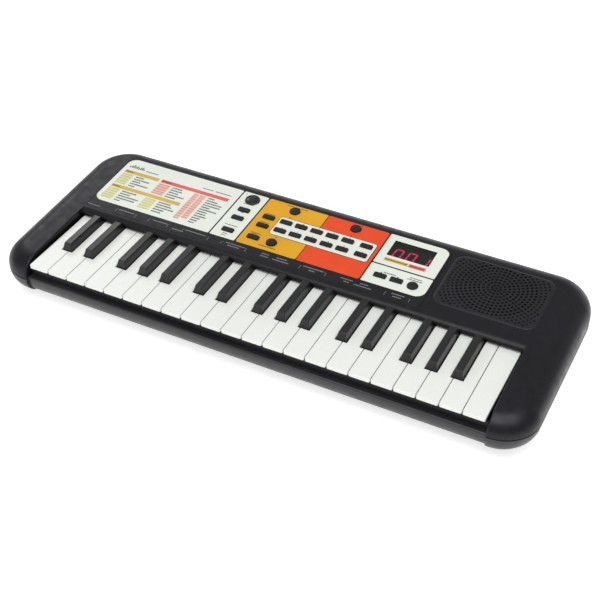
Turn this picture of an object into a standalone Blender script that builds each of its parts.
"""Toy electronic keyboard: sprung mini keys in a two-shell case, with a printed control panel, silicone
buttons, a speaker and a battery bay. Metres, +Z up; the player's side is -Y, the low notes are at -X.
The origin is on the table, under the middle of the case."""

import math

import bmesh
import bpy
from mathutils import Matrix, Vector

MM = 0.001
GAP = 0.35 * MM

# Keyboard: three octaves of white keys and a top C.
PITCH = 19.6 * MM
WHITE_COUNT = 22
KEY_GAP = 0.7 * MM
KEY_TOP_Z = 40.2 * MM
KEY_FRONT_Y = -95.8 * MM
KEY_REAR_Y = 8 * MM
KEY_DEPTH = 3.4 * MM
KEY_WALL = 1.2 * MM
KEY_PLATE = 1.6 * MM
KEY_CORNER = 1.4 * MM
HINGE_Y = 4 * MM
HINGE_Z = KEY_TOP_Z - 2.4 * MM

# A black key stands over the joint between two white keys, set off from it by a little.
BLACK_OFFSETS = {1: -1.8 * MM, 2: 1.4 * MM, 4: -2.8 * MM, 5: 0.0, 6: 2.9 * MM}
WHITES_PER_OCTAVE = 7
BLACK_WIDTH = 9.8 * MM
BLACK_TOP_WIDTH = 6.6 * MM
BLACK_HEIGHT = 7.0 * MM
BLACK_FRONT_Y = -62.5 * MM
BLACK_FRONT_SLOPE = 2.0 * MM
BLACK_NECK_HEIGHT = 1.8 * MM
BLACK_CLEARANCE = 0.8 * MM

# Case: both shells share this outline and meet at the seam.
CASE_WIDTH = 506 * MM
CASE_DEPTH = 201 * MM
FRONT_RADIUS = 33 * MM
REAR_RADIUS = 38 * MM
CORNER_STEPS = 7
CASE_WALL = 2.4 * MM
UNDERSIDE_Z = 5 * MM
SEAM_Z = 26.6 * MM
TOP_ROLL = 19.5 * MM
BOTTOM_ROLL = 20 * MM
ROLL_STEPS = 5
CUT_REACH = 120 * MM
CUT_MARGIN = 5 * MM
EDGE_CUT_REACH = 6 * MM
ROUND_EDGE_PART = 0.55
ROUND_CROWN_PART, ROUND_CROWN_RISE = 0.88, 0.9
BLACK_LIP_GAP = 0.9 * MM

# The top of the case is one plane that rises towards the rear. Its edges roll down to a shoulder, which
# rises a little less steeply.
PANEL_SLOPE = 0.055
PANEL_TILT = math.atan(PANEL_SLOPE)
PANEL_FRONT_Z = KEY_TOP_Z + 2.6 * MM
SHOULDER_FRONT_Z = SEAM_Z + 0.4 * MM
SHOULDER_SLOPE = 0.044

# Key slot between the end caps, and the lip of the panel above the keys.
SLOT_HALF = WHITE_COUNT * PITCH / 2 + 2.4 * MM
LIP_Y = -11 * MM
LIP_BOTTOM_Z = KEY_TOP_Z + 2.9 * MM
LIP_RUN = 7.4 * MM
LIP_STEPS = 5
PASSAGE_REACH = 6 * MM
PASSAGE_DROP = 0.1 * MM

# Front rail of the lower case, set back between the caps, with the ledge and key stop behind it.
RAIL_Y = -97.8 * MM
RAIL_ROLL = 19 * MM
RAIL_SETBACK = RAIL_Y + CASE_DEPTH / 2
LEDGE_THICKNESS = 2.2 * MM
STOP_TOP_Z = KEY_TOP_Z - 7.7 * MM
STOP_FRONT_Y = -91 * MM
STOP_REAR_Y = -88.5 * MM
RIB_THICKNESS = 5 * MM
RIB_TOP_Z = KEY_TOP_Z - KEY_DEPTH - 2.3 * MM

# Control panel plate, laid in a recess of the top plane. Panel places are given in key pitches:
# across from the first white key's left edge, and back from the keys' front edge.
PLATE_THICKNESS = 1.0 * MM
PLATE_RECESS = PLATE_THICKNESS + 0.3 * MM
PLATE_LEFT = -SLOT_HALF
PLATE_RIGHT = 121.5 * MM
PLATE_FRONT_Y = -3.2 * MM
PLATE_REAR_Y = 83.0 * MM
PLATE_CORNER = 5 * MM

BUTTON_LENGTH = 11.4 * MM
BUTTON_DEPTH = 5.0 * MM
BUTTON_RISE = 1.8 * MM
BUTTON_TRAVEL = 1.0 * MM
WEB_MARGIN = 1.5 * MM
WEB_TOP = -CASE_WALL - GAP
WEB_THICKNESS = 1.2 * MM
FLANGE_RIM = 1.2 * MM
NUMBER_COLUMNS = (9.31, 10.10, 10.90, 11.70, 12.50, 13.44)
NUMBER_ROWS = (7.58, 6.92)
BUTTON_PADS = {
    "button_pad_left": ((7.04, 7.59), (7.05, 6.93), (7.07, 5.95)),
    "button_pad_amber": ((8.38, 7.59), (8.39, 6.92), (8.40, 5.97)),
    "button_pad_numbers": tuple((x, y) for y in NUMBER_ROWS for x in NUMBER_COLUMNS),
    "button_pad_octave": ((14.82, 5.98), (15.61, 5.98)),
}
ROUND_BUTTONS = {
    "power_button": (7.05, 8.45, 7.0 * MM),
    "round_button_rear_left": (9.30, 8.53, 5.0 * MM),
    "round_button_front_left": (9.36, 5.97, 5.0 * MM),
    "round_button_rear_right": (12.47, 8.56, 5.0 * MM),
    "round_button_front_right": (16.40, 5.95, 4.8 * MM),
}
ROUND_RISE = 1.9 * MM
ROUND_SEGMENTS = 20

# Display: a lens in the plate over the lit digits, which stand on the main board.
LENS_LEFT, LENS_RIGHT = 14.50, 16.53
LENS_FRONT, LENS_REAR = 7.49, 8.57
LENS_THICKNESS = 0.85 * MM
DISPLAY_LEDGE = 1.6 * MM
DISPLAY_BLOCK_TOP = -4.4 * MM
DISPLAY_BLOCK_GAP = 0.5 * MM
BOARD_TOP = -5.6 * MM
BOARD_THICKNESS = 1.6 * MM
BOARD_LEFT, BOARD_RIGHT = -92 * MM, 124 * MM
BOARD_FRONT_Y, BOARD_REAR_Y = 14 * MM, 83 * MM

# Grille field, a low raised pad, and the speaker under it.
GRILLE_X, GRILLE_Y = 172.4 * MM, 44.4 * MM
GRILLE_WIDTH, GRILLE_DEPTH = 91 * MM, 68 * MM
GRILLE_CORNER = 10 * MM
GRILLE_RISE = 0.5 * MM
GRILLE_EDGE = 0.8 * MM
SPEAKER_X, SPEAKER_Y = 172.4 * MM, 49 * MM
SPEAKER_RADIUS = 32.5 * MM
SPEAKER_RIM = 4 * MM
MAGNET_RADIUS = 18 * MM
SPEAKER_HEIGHT = 24.0 * MM
SPEAKER_SEGMENTS = 24
RIM_THICKNESS = 1.5 * MM
MAGNET_HEIGHT = 9 * MM
YOKE_STEP, YOKE_BEVEL = 4 * MM, 0.5 * MM
BASKET_FLOOR = 11.5 * MM
CUP_RADIUS = 12 * MM
CONE_GAP = 2.2 * MM
CONE_LIFT = 0.7 * MM
CONE_STEP = 2 * MM
CONE_THICKNESS = 1.2 * MM
CONE_DIP = 0.2 * MM
CAP_HEIGHT = 3.3 * MM
ROLL_DEPTH, ROLL_EDGE = 1.6 * MM, 0.4 * MM

# Key contact board under the keys.
CONTACT_BOARD_FRONT_Y, CONTACT_BOARD_REAR_Y = -48 * MM, -20 * MM
CONTACT_BOARD_Z = 29 * MM
CONTACT_STRIP_DEPTH = 9 * MM
CONTACT_STRIP_HEIGHT = 2.6 * MM
CONTACT_STRIP_MARGIN = 2 * MM

# Battery bay for four AA cells side by side, closed by a hinged door.
BAY_HALF_WIDTH = 31 * MM
BAY_FRONT_Y, BAY_REAR_Y = 22 * MM, 76 * MM
BAY_ROOF_Z = 23.5 * MM
BAY_WALL = 3.4 * MM
DOOR_MARGIN = 2 * MM
DOOR_THICKNESS = 1.6 * MM
DOOR_LEDGE_Z = UNDERSIDE_Z + DOOR_THICKNESS + 0.3 * MM
GRIP_WIDTH = 22 * MM
GRIP_DEPTH = 5 * MM
GRIP_RIM = 1.2 * MM

# Sockets in the rear wall.
PHONES_X, USB_X = 152 * MM, 128 * MM
SOCKET_Z = 33 * MM
PHONES_HOLE_RADIUS = 3.6 * MM
PHONES_BARREL_RADIUS = 3.2 * MM
PHONES_BORE_RADIUS = 1.8 * MM
USB_WIDTH, USB_HEIGHT = 7.6 * MM, 2.8 * MM
JACK_BOARD_Z = 28.4 * MM
JACK_BOARD_DEPTH = 20 * MM
JACK_BOARD_MARGIN_LEFT, JACK_BOARD_MARGIN_RIGHT = 8 * MM, 9 * MM
PHONES_BODY_HALF = 6 * MM
PHONES_BODY_DEPTH = 16 * MM
PHONES_BODY_RISE = 4 * MM
BARREL_REACH, BARREL_SINK = 6 * MM, 0.4 * MM
BORE_DEPTH = 13 * MM
BORE_SEGMENTS = 12
USB_BODY_DEPTH = 8 * MM
USB_OVERLAP = 1 * MM
USB_SINK = 0.6 * MM
USB_RIM = 0.5 * MM
USB_SLOT_DEPTH = 6 * MM

# Rubber feet in shallow pockets.
FOOT_RADIUS = 7 * MM
FOOT_HEIGHT = 5.7 * MM
FOOT_POCKET_Z = 6 * MM
FOOT_BEVEL = 0.8 * MM
FOOT_PLACES = {
    "foot_front_left": (-195 * MM, -66 * MM),
    "foot_front_right": (195 * MM, -66 * MM),
    "foot_rear_left": (-195 * MM, 66 * MM),
    "foot_rear_right": (195 * MM, 66 * MM),
}

MATERIALS = {
    "case_black": ((0.035, 0.035, 0.039), 0.45, 0.0),
    "key_white": ((0.86, 0.87, 0.84), 0.28, 0.0),
    "key_black": ((0.03, 0.031, 0.032), 0.35, 0.0),
    "panel_print": ((0.84, 0.86, 0.80), 0.4, 0.0),
    "button_rubber": ((0.028, 0.031, 0.030), 0.6, 0.0),
    "lens_dark": ((0.02, 0.024, 0.02), 0.1, 0.0),
    "board_green": ((0.03, 0.14, 0.06), 0.5, 0.0),
    "speaker_steel": ((0.35, 0.35, 0.36), 0.4, 0.9),
    "cone_paper": ((0.02, 0.02, 0.02), 0.85, 0.0),
    "foot_rubber": ((0.02, 0.02, 0.02), 0.8, 0.0),
}


def make_material(name):
    colour, roughness, metallic = MATERIALS[name]
    material = bpy.data.materials.new(name)
    material.use_nodes = True
    shader = material.node_tree.nodes["Principled BSDF"]
    shader.inputs["Base Color"].default_value = (*colour, 1)
    shader.inputs["Roughness"].default_value = roughness
    shader.inputs["Metallic"].default_value = metallic
    return material


def add_object(name, points, faces, material=None, matrix=None, smooth=False):
    """A mesh object with its faces turned outwards. With no material it is a cutter or a body to join."""
    mesh = bpy.data.meshes.new(name)
    mesh.from_pydata([tuple(point) for point in points], [], faces)
    shape = bmesh.new()
    shape.from_mesh(mesh)
    bmesh.ops.recalc_face_normals(shape, faces=shape.faces)
    shape.to_mesh(mesh)
    shape.free()
    if smooth:
        mesh.shade_smooth()
        mesh.set_sharp_from_angle(angle=math.radians(35))
    thing = bpy.data.objects.new(name, mesh)
    bpy.context.collection.objects.link(thing)
    if matrix:
        thing.matrix_world = matrix
    if material:
        mesh.materials.append(bpy.data.materials[material])
    else:
        thing.hide_render = True
        thing.display_type = "WIRE"
    return thing


def combine(target, operation, *tools):
    for tool in tools:
        cut = target.modifiers.new(tool.name, "BOOLEAN")
        cut.operation = operation
        cut.solver = "EXACT"
        cut.object = tool


def loft(name, rings, **options):
    """A closed body through rings of equally many points, capped at both ends."""
    count = len(rings[0])
    points = [point for ring in rings for point in ring]
    faces = [list(range(count)), list(range(len(points) - count, len(points)))]
    for level in range(len(rings) - 1):
        start = level * count
        for i in range(count):
            j = (i + 1) % count
            faces.append([start + i, start + j, start + count + j, start + count + i])
    return add_object(name, points, faces, **options)


def prism(name, outline, low, high, **options):
    """An outline in x and y, extruded along z."""
    rings = [[(x, y, z) for x, y in outline] for z in (low, high)]
    return loft(name, rings, **options)


def beam(name, profile, left, right, **options):
    """A profile in y and z, extruded along x."""
    rings = [[(x, y, z) for y, z in profile] for x in (left, right)]
    return loft(name, rings, **options)


def box(name, low, high, **options):
    (x0, y0, z0), (x1, y1, z1) = low, high
    return prism(name, [(x0, y0), (x1, y0), (x1, y1), (x0, y1)], z0, z1, **options)


def turned(name, profile, segments, **options):
    """A profile of radius and height, from the axis back to the axis, turned about z."""
    points = []
    rows = []
    for radius, height in profile:
        if radius == 0:
            rows.append([len(points)] * segments)
            points.append((0, 0, height))
        else:
            rows.append(range(len(points), len(points) + segments))
            turns = [math.tau * i / segments for i in range(segments)]
            points += [(radius * math.cos(a), radius * math.sin(a), height) for a in turns]
    faces = []
    for low, high in zip(rows, rows[1:]):
        for i in range(segments):
            j = (i + 1) % segments
            corners = [low[i], low[j], high[j], high[i]]
            faces.append(list(dict.fromkeys(corners)))
    return add_object(name, points, faces, smooth=True, **options)


def circle(x, y, radius, segments):
    turns = [math.tau * i / segments for i in range(segments)]
    return [(x + radius * math.cos(a), y + radius * math.sin(a)) for a in turns]


def rounded_outline(left, right, front, rear, front_radius, rear_radius, steps=CORNER_STEPS):
    """A rectangle with round corners, counter-clockwise from the front edge's right end."""
    corners = (
        (right - front_radius, front + front_radius, front_radius, -90),
        (right - rear_radius, rear - rear_radius, rear_radius, 0),
        (left + rear_radius, rear - rear_radius, rear_radius, 90),
        (left + front_radius, front + front_radius, front_radius, 180),
    )
    outline = []
    for x, y, radius, start in corners:
        for step in range(steps + 1):
            angle = math.radians(start + 90 * step / steps)
            outline.append((x + radius * math.cos(angle), y + radius * math.sin(angle)))
    return outline


def case_outline(inset, front_setback=0.0):
    half_width, half_depth = CASE_WIDTH / 2 - inset, CASE_DEPTH / 2 - inset
    return rounded_outline(
        -half_width,
        half_width,
        -half_depth + front_setback,
        half_depth,
        FRONT_RADIUS - inset,
        REAR_RADIUS - inset,
    )


def quarter_turns(steps=ROLL_STEPS):
    return [math.radians(90 * step / steps) for step in range(steps + 1)]


def panel_z(y):
    """Height of the sloping top plane."""
    return PANEL_FRONT_Z + PANEL_SLOPE * (y - KEY_FRONT_Y)


def panel_matrix(x=0.0, y=0.0):
    """A frame on the top plane, its z along the plane's outward normal."""
    return Matrix.Translation((x, y, panel_z(y))) @ Matrix.Rotation(PANEL_TILT, 4, "X")


def panel_place(across, back):
    """World x and y of a panel place given in key pitches."""
    return (across - WHITE_COUNT / 2) * PITCH, KEY_FRONT_Y + back * PITCH


def along_panel(y):
    """Distance up the sloping plane from the line over y = 0."""
    return y / math.cos(PANEL_TILT)


def shoulder_z(y):
    return SHOULDER_FRONT_Z + SHOULDER_SLOPE * (y + CASE_DEPTH / 2)


def upper_shell_rings(inset, seam_z):
    """The upper shell's surface, or the hollow inside it when inset is the wall."""
    rings = [[(x, y, seam_z) for x, y in case_outline(inset)]]
    for turn in quarter_turns():
        outline = case_outline(inset + (TOP_ROLL - inset) * (1 - math.cos(turn)))
        ring = []
        for x, y in outline:
            shoulder, top = shoulder_z(y), panel_z(y) - inset
            ring.append((x, y, shoulder + (top - shoulder) * math.sin(turn)))
        rings.append(ring)
    return rings


def lower_shell_rings(inset, seam_z, front_setback=0.0):
    """The lower shell's surface, or the hollow inside it when inset is the wall."""
    rings = []
    radius = BOTTOM_ROLL - inset
    for turn in reversed(quarter_turns()):
        outline = case_outline(inset + radius * (1 - math.cos(turn)), front_setback)
        height = UNDERSIDE_Z + inset + radius * (1 - math.sin(turn))
        rings.append([(x, y, height) for x, y in outline])
    rings.append([(x, y, seam_z) for x, y in case_outline(inset, front_setback)])
    return rings


def lip_profile():
    """The key slot's section: open to the front and above, round over the panel's lip."""
    top_y = LIP_Y + LIP_RUN
    rise = panel_z(top_y) - LIP_BOTTOM_Z
    lip = []
    for turn in quarter_turns(LIP_STEPS):
        y = top_y - LIP_RUN * math.cos(turn)
        lip.append((y, LIP_BOTTOM_Z + rise * math.sin(turn)))
    return [(LIP_Y, 0.0), *lip, (top_y, CUT_REACH), (-CUT_REACH, CUT_REACH), (-CUT_REACH, 0.0)]


def button_cutters(clearance):
    """One cutter for each button, reaching through the plate and the case below it."""
    low, high = -EDGE_CUT_REACH, EDGE_CUT_REACH
    cutters = []
    half_length, half_depth = BUTTON_LENGTH / 2 + clearance, BUTTON_DEPTH / 2 + clearance
    for pad, places in BUTTON_PADS.items():
        for number, place in enumerate(places, 1):
            corner = Vector((half_length, half_depth, 0))
            name = f"{pad}_hole_{number}"
            matrix = panel_matrix(*panel_place(*place))
            cutters.append(
                box(name, -corner + Vector((0, 0, low)), corner + Vector((0, 0, high)), matrix=matrix)
            )
    for name, (across, back, radius) in ROUND_BUTTONS.items():
        outline = circle(0, 0, radius + clearance, ROUND_SEGMENTS)
        matrix = panel_matrix(*panel_place(across, back))
        cutters.append(prism(f"{name}_hole", outline, low, high, matrix=matrix))
    return cutters


def lens_box(name, margin, low, high, **options):
    """A block as wide and deep as the display lens, with a margin all round."""
    left, front = panel_place(LENS_LEFT, LENS_FRONT)
    right, rear = panel_place(LENS_RIGHT, LENS_REAR)
    front, rear = along_panel(front), along_panel(rear)
    return box(
        name,
        (left - margin, front - margin, low),
        (right + margin, rear + margin, high),
        matrix=panel_matrix(),
        **options,
    )


def plate_outline(clearance):
    return rounded_outline(
        PLATE_LEFT + clearance,
        PLATE_RIGHT - clearance,
        along_panel(PLATE_FRONT_Y) + clearance,
        along_panel(PLATE_REAR_Y) - clearance,
        PLATE_CORNER - clearance,
        PLATE_CORNER - clearance,
        steps=3,
    )


def grille_outline(margin):
    """The grille pad's outline, widened by a margin, about its own middle."""
    return rounded_outline(
        -GRILLE_WIDTH / 2 - margin,
        GRILLE_WIDTH / 2 + margin,
        -GRILLE_DEPTH / 2 - margin,
        GRILLE_DEPTH / 2 + margin,
        GRILLE_CORNER + margin,
        GRILLE_CORNER + margin,
        steps=4,
    )


def build_upper_case(holes):
    case = loft("upper_case", upper_shell_rings(0.0, SEAM_Z + GAP / 2), material="case_black", smooth=True)
    hollow = loft("upper_hollow", upper_shell_rings(CASE_WALL, SEAM_Z - CUT_MARGIN))
    walls = box(
        "slot_walls",
        (-SLOT_HALF - CASE_WALL, -CUT_REACH, 0),
        (SLOT_HALF + CASE_WALL, LIP_Y + CASE_WALL, CUT_REACH),
    )
    combine(hollow, "DIFFERENCE", walls)
    slot = beam("key_slot", lip_profile(), -SLOT_HALF, SLOT_HALF)
    passage = box(
        "key_passage",
        (-SLOT_HALF, LIP_Y - PASSAGE_REACH, 0),
        (SLOT_HALF, LIP_Y + PASSAGE_REACH, LIP_BOTTOM_Z - PASSAGE_DROP),
    )
    recess = prism("plate_recess", plate_outline(0.0), -PLATE_RECESS, CUT_MARGIN, matrix=panel_matrix())
    display_hole = lens_box("display_hole", -DISPLAY_LEDGE, -CUT_MARGIN, CUT_MARGIN)
    grille_rings = [
        [(x, y, z) for x, y in grille_outline(margin)]
        for margin, z in ((GRILLE_EDGE, -CASE_WALL / 2), (GRILLE_EDGE, 0.0), (0.0, GRILLE_RISE))
    ]
    grille = loft("grille_pad", grille_rings, matrix=panel_matrix(GRILLE_X, GRILLE_Y))
    wall_y = CASE_DEPTH / 2
    backwards = Matrix.Rotation(-math.pi / 2, 4, "X")
    phones_hole = prism(
        "phones_hole",
        circle(0, 0, PHONES_HOLE_RADIUS, ROUND_SEGMENTS),
        -CUT_MARGIN,
        CUT_MARGIN,
        matrix=Matrix.Translation((PHONES_X, wall_y, SOCKET_Z)) @ backwards,
    )
    usb_hole = box(
        "usb_hole",
        (USB_X - USB_WIDTH / 2 - GAP, wall_y - CUT_MARGIN, SOCKET_Z - USB_HEIGHT / 2 - GAP),
        (USB_X + USB_WIDTH / 2 + GAP, wall_y + CUT_MARGIN, SOCKET_Z + USB_HEIGHT / 2 + GAP),
    )
    combine(case, "DIFFERENCE", hollow, slot, passage, recess, display_hole)
    combine(case, "UNION", grille)
    combine(case, "DIFFERENCE", phones_hole, usb_hole, *holes)


def build_lower_case():
    case = loft("lower_case", lower_shell_rings(0.0, SEAM_Z - GAP / 2), material="case_black", smooth=True)
    hollow = loft("lower_hollow", lower_shell_rings(CASE_WALL, SEAM_Z + CUT_MARGIN, RAIL_SETBACK))

    rail_section = [(-CUT_REACH, -CUT_REACH), (-CUT_REACH, CUT_REACH), (RAIL_Y, CUT_REACH)]
    for turn in quarter_turns():
        y = RAIL_Y + RAIL_ROLL * (1 - math.cos(turn))
        rail_section.append((y, UNDERSIDE_Z + RAIL_ROLL * (1 - math.sin(turn))))
    rail_section.append((RAIL_Y + RAIL_ROLL, -CUT_REACH))
    rail_front = beam("rail_front", rail_section, -SLOT_HALF, SLOT_HALF)

    ledge_top, ledge_bottom = SEAM_Z - GAP / 2, SEAM_Z - GAP / 2 - LEDGE_THICKNESS
    ledge_front = RAIL_Y + CASE_WALL / 2
    ledge_section = [
        (ledge_front, ledge_bottom),
        (STOP_REAR_Y, ledge_bottom),
        (STOP_REAR_Y, STOP_TOP_Z),
        (STOP_FRONT_Y, STOP_TOP_Z),
        (STOP_FRONT_Y, ledge_top),
        (ledge_front, ledge_top),
    ]
    ledge = beam("key_stop_ledge", ledge_section, -SLOT_HALF + GAP, SLOT_HALF - GAP)

    inside_floor = UNDERSIDE_Z + CASE_WALL / 2
    rib = box(
        "hinge_rib",
        (-SLOT_HALF, HINGE_Y - RIB_THICKNESS / 2, inside_floor),
        (SLOT_HALF, HINGE_Y + RIB_THICKNESS / 2, RIB_TOP_Z),
    )
    bay_block = box(
        "bay_block",
        (-BAY_HALF_WIDTH - BAY_WALL, BAY_FRONT_Y - BAY_WALL, inside_floor),
        (BAY_HALF_WIDTH + BAY_WALL, BAY_REAR_Y + BAY_WALL, BAY_ROOF_Z + CASE_WALL),
    )
    bay = box(
        "bay_space", (-BAY_HALF_WIDTH, BAY_FRONT_Y, 0), (BAY_HALF_WIDTH, BAY_REAR_Y, BAY_ROOF_Z)
    )
    door_pocket = box(
        "door_pocket",
        (-BAY_HALF_WIDTH - DOOR_MARGIN - GAP, BAY_FRONT_Y - DOOR_MARGIN - GAP, 0),
        (BAY_HALF_WIDTH + DOOR_MARGIN + GAP, BAY_REAR_Y + DOOR_MARGIN + GAP, DOOR_LEDGE_Z),
    )
    pockets = [
        prism(f"{name}_pocket", circle(x, y, FOOT_RADIUS + GAP, ROUND_SEGMENTS), 0, FOOT_POCKET_Z)
        for name, (x, y) in FOOT_PLACES.items()
    ]
    combine(case, "DIFFERENCE", hollow)
    combine(case, "UNION", rib, bay_block)
    combine(case, "DIFFERENCE", rail_front)
    combine(case, "UNION", ledge)
    combine(case, "DIFFERENCE", bay, door_pocket, *pockets)


def build_battery_door():
    """The door's origin is on its hinge line, the outer edge of its front side."""
    hinge = Vector((0, BAY_FRONT_Y - DOOR_MARGIN, UNDERSIDE_Z))
    half_width = BAY_HALF_WIDTH + DOOR_MARGIN
    depth = BAY_REAR_Y - BAY_FRONT_Y + 2 * DOOR_MARGIN
    door = box(
        "battery_door",
        (-half_width, 0, 0),
        (half_width, depth, DOOR_THICKNESS),
        material="case_black",
        matrix=Matrix.Translation(hinge),
    )
    grip = box(
        "door_grip",
        (-GRIP_WIDTH / 2, depth - GRIP_DEPTH, -CUT_MARGIN),
        (GRIP_WIDTH / 2, depth - GRIP_RIM, DOOR_THICKNESS / 2),
        matrix=Matrix.Translation(hinge),
    )
    combine(door, "DIFFERENCE", grip)


def black_key_centres():
    """World x of each black key's middle, keyed by the number of white keys to its left."""
    centres = {}
    for joint in range(1, WHITE_COUNT):
        offset = BLACK_OFFSETS.get(joint % WHITES_PER_OCTAVE)
        if offset is not None:
            centres[joint] = (joint - WHITE_COUNT / 2) * PITCH + offset
    return centres


def offset_outline(outline, distance):
    """The outline with every edge moved inwards by the same distance."""
    moved = []
    count = len(outline)
    for i in range(count):
        before, corner, after = (Vector(outline[(i + k) % count]) for k in (-1, 0, 1))
        along_in, along_out = (corner - before).normalized(), (after - corner).normalized()
        normal_in = Vector((-along_in.y, along_in.x))
        normal_out = Vector((-along_out.y, along_out.x))
        bisector = (normal_in + normal_out).normalized()
        moved.append(corner + bisector * distance / bisector.dot(normal_in))
    return moved


def white_key_outline(index, centres):
    """Counter-clockwise, in the key's own frame on its hinge line, narrowed where black keys pass."""
    middle = (index + 0.5 - WHITE_COUNT / 2) * PITCH
    left, right = -(PITCH - KEY_GAP) / 2, (PITCH - KEY_GAP) / 2
    front, rear = KEY_FRONT_Y - HINGE_Y, KEY_REAR_Y - HINGE_Y
    notch_y = BLACK_FRONT_Y - BLACK_CLEARANCE - HINGE_Y
    reach = BLACK_WIDTH / 2 + BLACK_CLEARANCE
    outline = [(left, front + KEY_CORNER), (left + KEY_CORNER, front)]
    outline += [(right - KEY_CORNER, front), (right, front + KEY_CORNER)]
    if index + 1 in centres:
        side = centres[index + 1] - reach - middle
        outline += [(right, notch_y), (side, notch_y), (side, rear)]
    else:
        outline.append((right, rear))
    if index in centres:
        side = centres[index] + reach - middle
        outline += [(side, rear), (side, notch_y), (left, notch_y)]
    else:
        outline.append((left, rear))
    return middle, outline


def build_white_keys(centres):
    """Each key is a moulded tray, open below."""
    top = KEY_TOP_Z - HINGE_Z
    for index in range(WHITE_COUNT):
        middle, outline = white_key_outline(index, centres)
        inner = offset_outline(outline, KEY_WALL)
        rings = [
            [(x, y, top) for x, y in outline],
            [(x, y, top - KEY_DEPTH) for x, y in outline],
            [(x, y, top - KEY_DEPTH) for x, y in inner],
            [(x, y, top - KEY_PLATE) for x, y in inner],
        ]
        loft(
            f"white_key_{index + 1:02d}",
            rings,
            material="key_white",
            matrix=Matrix.Translation((middle, HINGE_Y, HINGE_Z)),
        )


def build_black_keys(centres):
    """A tapered block over the white keys, with a lower neck that runs back under the panel."""
    top, bottom = KEY_TOP_Z - HINGE_Z, KEY_TOP_Z - HINGE_Z - KEY_DEPTH
    front, end = BLACK_FRONT_Y - HINGE_Y, LIP_Y - BLACK_LIP_GAP - HINGE_Y
    rear = KEY_REAR_Y - HINGE_Y
    wide, narrow = BLACK_WIDTH / 2, BLACK_TOP_WIDTH / 2
    levels = (
        (wide, front, bottom),
        (wide, front, top),
        (narrow, front + BLACK_FRONT_SLOPE, top + BLACK_HEIGHT),
    )
    rings = [[(-w, f, z), (w, f, z), (w, end, z), (-w, end, z)] for w, f, z in levels]
    for number, (joint, middle) in enumerate(sorted(centres.items()), 1):
        matrix = Matrix.Translation((middle, HINGE_Y, HINGE_Z))
        key = loft(f"black_key_{number:02d}", rings, material="key_black", matrix=matrix)
        neck = box(
            f"black_key_neck_{joint}",
            (-wide, end - 5 * MM, bottom),
            (wide, rear, top + BLACK_NECK_HEIGHT),
            matrix=matrix,
        )
        combine(key, "UNION", neck)


def build_panel_plate(holes):
    plate = prism(
        "panel_plate",
        plate_outline(GAP),
        -PLATE_THICKNESS,
        0.0,
        material="panel_print",
        matrix=panel_matrix(),
    )
    lens_hole = lens_box("lens_hole", GAP, -CUT_MARGIN, CUT_MARGIN)
    combine(plate, "DIFFERENCE", lens_hole, *holes)
    lens_box("display_lens", 0.0, -LENS_THICKNESS, 0.0, material="lens_dark")


def build_button_pads():
    """Each pad is one silicone moulding: a web under the case, with a cap for each button."""
    for pad, places in BUTTON_PADS.items():
        spots = [panel_place(*place) for place in places]
        middle = [sum(axis) / len(spots) for axis in zip(*spots)]
        matrix = panel_matrix(*middle)
        spots = [(x - middle[0], along_panel(y - middle[1])) for x, y in spots]
        reach_x = max(abs(x) for x, _ in spots) + BUTTON_LENGTH / 2 + WEB_MARGIN
        reach_y = max(abs(y) for _, y in spots) + BUTTON_DEPTH / 2 + WEB_MARGIN
        web = box(
            pad,
            (-reach_x, -reach_y, WEB_TOP - WEB_THICKNESS),
            (reach_x, reach_y, WEB_TOP),
            material="button_rubber",
            matrix=matrix,
        )
        for number, (x, y) in enumerate(spots, 1):
            half_length, half_depth = BUTTON_LENGTH / 2, BUTTON_DEPTH / 2
            cap = box(
                f"{pad}_cap_{number}",
                (x - half_length, y - half_depth, WEB_TOP - WEB_THICKNESS / 2),
                (x + half_length, y + half_depth, BUTTON_RISE),
                matrix=matrix,
            )
            combine(web, "UNION", cap)


def build_round_buttons():
    """A shallow dome on a stem, held under the case by its flange."""
    for name, (across, back, radius) in ROUND_BUTTONS.items():
        profile = [
            (0, WEB_TOP - WEB_THICKNESS),
            (radius + FLANGE_RIM, WEB_TOP - WEB_THICKNESS),
            (radius + FLANGE_RIM, WEB_TOP),
            (radius, WEB_TOP),
            (radius, ROUND_RISE * ROUND_EDGE_PART),
            (radius * ROUND_CROWN_PART, ROUND_RISE * ROUND_CROWN_RISE),
            (0, ROUND_RISE),
        ]
        matrix = panel_matrix(*panel_place(across, back))
        turned(name, profile, ROUND_SEGMENTS, material="button_rubber", matrix=matrix)


def build_main_board():
    """The board with the display block that stands on it, up through the case below the lens."""
    board = box(
        "main_board",
        (BOARD_LEFT, along_panel(BOARD_FRONT_Y), BOARD_TOP - BOARD_THICKNESS),
        (BOARD_RIGHT, along_panel(BOARD_REAR_Y), BOARD_TOP),
        material="board_green",
        matrix=panel_matrix(),
    )
    block_margin = -DISPLAY_LEDGE - DISPLAY_BLOCK_GAP
    block = lens_box("display_block", block_margin, BOARD_TOP - BOARD_THICKNESS / 2, DISPLAY_BLOCK_TOP)
    combine(board, "UNION", block)


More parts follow.
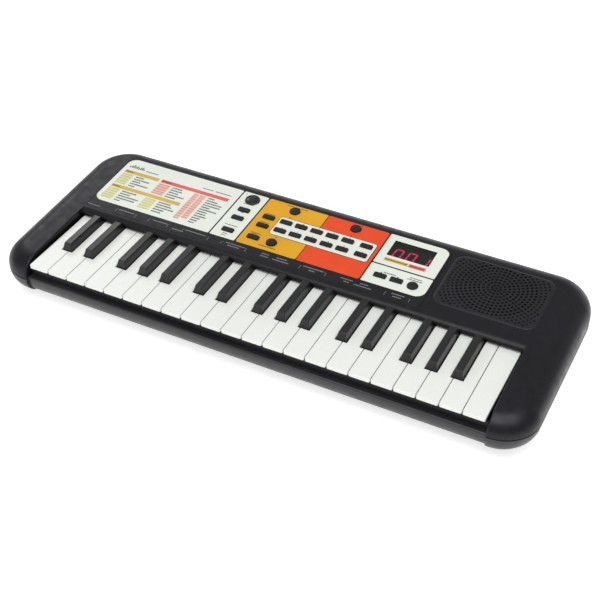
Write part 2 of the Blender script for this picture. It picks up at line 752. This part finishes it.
def build_jack_board():
    """A small board behind the rear wall with the headphone jack and the power socket."""
    wall_y = CASE_DEPTH / 2
    inner_y = wall_y - CASE_WALL - GAP
    board = box(
        "jack_board",
        (USB_X - JACK_BOARD_MARGIN_LEFT, wall_y - JACK_BOARD_DEPTH, JACK_BOARD_Z - BOARD_THICKNESS),
        (PHONES_X + JACK_BOARD_MARGIN_RIGHT, inner_y, JACK_BOARD_Z),
        material="board_green",
    )
    phones_body = box(
        "phones_body",
        (PHONES_X - PHONES_BODY_HALF, wall_y - PHONES_BODY_DEPTH, JACK_BOARD_Z - BOARD_THICKNESS / 2),
        (PHONES_X + PHONES_BODY_HALF, inner_y, SOCKET_Z + PHONES_BODY_RISE),
    )
    backwards = Matrix.Rotation(-math.pi / 2, 4, "X")
    barrel = prism(
        "phones_barrel",
        circle(0, 0, PHONES_BARREL_RADIUS, ROUND_SEGMENTS),
        -BARREL_REACH,
        -BARREL_SINK,
        matrix=Matrix.Translation((PHONES_X, wall_y, SOCKET_Z)) @ backwards,
    )
    bore = prism(
        "phones_bore",
        circle(0, 0, PHONES_BORE_RADIUS, BORE_SEGMENTS),
        -BORE_DEPTH,
        CUT_MARGIN,
        matrix=Matrix.Translation((PHONES_X, wall_y, SOCKET_Z)) @ backwards,
    )
    usb_body = box(
        "usb_body",
        (USB_X - USB_WIDTH / 2, wall_y - USB_BODY_DEPTH, JACK_BOARD_Z - BOARD_THICKNESS / 2),
        (USB_X + USB_WIDTH / 2, inner_y, SOCKET_Z + USB_HEIGHT / 2),
    )
    usb_mouth = box(
        "usb_mouth",
        (USB_X - USB_WIDTH / 2, inner_y - USB_OVERLAP, SOCKET_Z - USB_HEIGHT / 2),
        (USB_X + USB_WIDTH / 2, wall_y - USB_SINK, SOCKET_Z + USB_HEIGHT / 2),
    )
    usb_slot = box(
        "usb_slot",
        (USB_X - USB_WIDTH / 2 + USB_RIM, wall_y - USB_SLOT_DEPTH, SOCKET_Z - USB_HEIGHT / 2 + USB_RIM),
        (USB_X + USB_WIDTH / 2 - USB_RIM, wall_y + CUT_MARGIN, SOCKET_Z + USB_HEIGHT / 2 - USB_RIM),
    )
    combine(board, "UNION", phones_body, barrel, usb_body, usb_mouth)
    combine(board, "DIFFERENCE", bore, usb_slot)


def build_speaker():
    matrix = panel_matrix(SPEAKER_X, SPEAKER_Y)
    top = WEB_TOP
    bottom = top - SPEAKER_HEIGHT
    yoke, floor = bottom + MAGNET_HEIGHT, bottom + BASKET_FLOOR
    basket = [
        (0, bottom),
        (MAGNET_RADIUS, bottom),
        (MAGNET_RADIUS, yoke),
        (MAGNET_RADIUS - YOKE_STEP, yoke + YOKE_BEVEL),
        (SPEAKER_RADIUS - SPEAKER_RIM, top - 2 * RIM_THICKNESS),
        (SPEAKER_RADIUS, top - RIM_THICKNESS),
        (SPEAKER_RADIUS, top),
        (SPEAKER_RADIUS - SPEAKER_RIM, top),
        (CUP_RADIUS, floor),
        (0, floor),
    ]
    turned("speaker_basket", basket, SPEAKER_SEGMENTS, material="speaker_steel", matrix=matrix)
    edge = SPEAKER_RADIUS - SPEAKER_RIM - CONE_GAP
    cone_floor = floor + CONE_LIFT
    cone = [
        (0, cone_floor),
        (CUP_RADIUS - CONE_STEP, cone_floor),
        (edge, top - ROLL_DEPTH),
        (edge - ROLL_EDGE, top - ROLL_DEPTH / 2),
        (edge - CONE_STEP, top - ROLL_DEPTH / 2 - CONE_DIP),
        (CUP_RADIUS - 2 * CONE_STEP, cone_floor + CONE_THICKNESS),
        (0, cone_floor + CAP_HEIGHT),
    ]
    turned("speaker_cone", cone, SPEAKER_SEGMENTS, material="cone_paper", matrix=matrix)


def build_contact_board():
    """The long board under the keys, with its strip of rubber contact domes."""
    board = box(
        "key_contact_board",
        (-SLOT_HALF, CONTACT_BOARD_FRONT_Y, CONTACT_BOARD_Z),
        (SLOT_HALF, CONTACT_BOARD_REAR_Y, CONTACT_BOARD_Z + BOARD_THICKNESS),
        material="board_green",
    )
    middle_y = (CONTACT_BOARD_FRONT_Y + CONTACT_BOARD_REAR_Y) / 2
    strip = box(
        "contact_strip",
        (
            -SLOT_HALF + CONTACT_STRIP_MARGIN,
            middle_y - CONTACT_STRIP_DEPTH / 2,
            CONTACT_BOARD_Z + BOARD_THICKNESS / 2,
        ),
        (
            SLOT_HALF - CONTACT_STRIP_MARGIN,
            middle_y + CONTACT_STRIP_DEPTH / 2,
            CONTACT_BOARD_Z + BOARD_THICKNESS + CONTACT_STRIP_HEIGHT,
        ),
    )
    combine(board, "UNION", strip)


def build_feet():
    for name, (x, y) in FOOT_PLACES.items():
        profile = [
            (0, 0),
            (FOOT_RADIUS - FOOT_BEVEL, 0),
            (FOOT_RADIUS, FOOT_BEVEL),
            (FOOT_RADIUS, FOOT_HEIGHT),
            (0, FOOT_HEIGHT),
        ]
        matrix = Matrix.Translation((x, y, 0))
        turned(name, profile, ROUND_SEGMENTS, material="foot_rubber", matrix=matrix)


def main():
    for thing in list(bpy.data.objects):
        bpy.data.objects.remove(thing)
    for name in MATERIALS:
        make_material(name)
    holes = button_cutters(GAP)
    centres = black_key_centres()
    build_upper_case(holes)
    build_lower_case()
    build_battery_door()
    build_white_keys(centres)
    build_black_keys(centres)
    build_panel_plate(holes)
    build_button_pads()
    build_round_buttons()
    build_main_board()
    build_jack_board()
    build_speaker()
    build_contact_board()
    build_feet()


main()
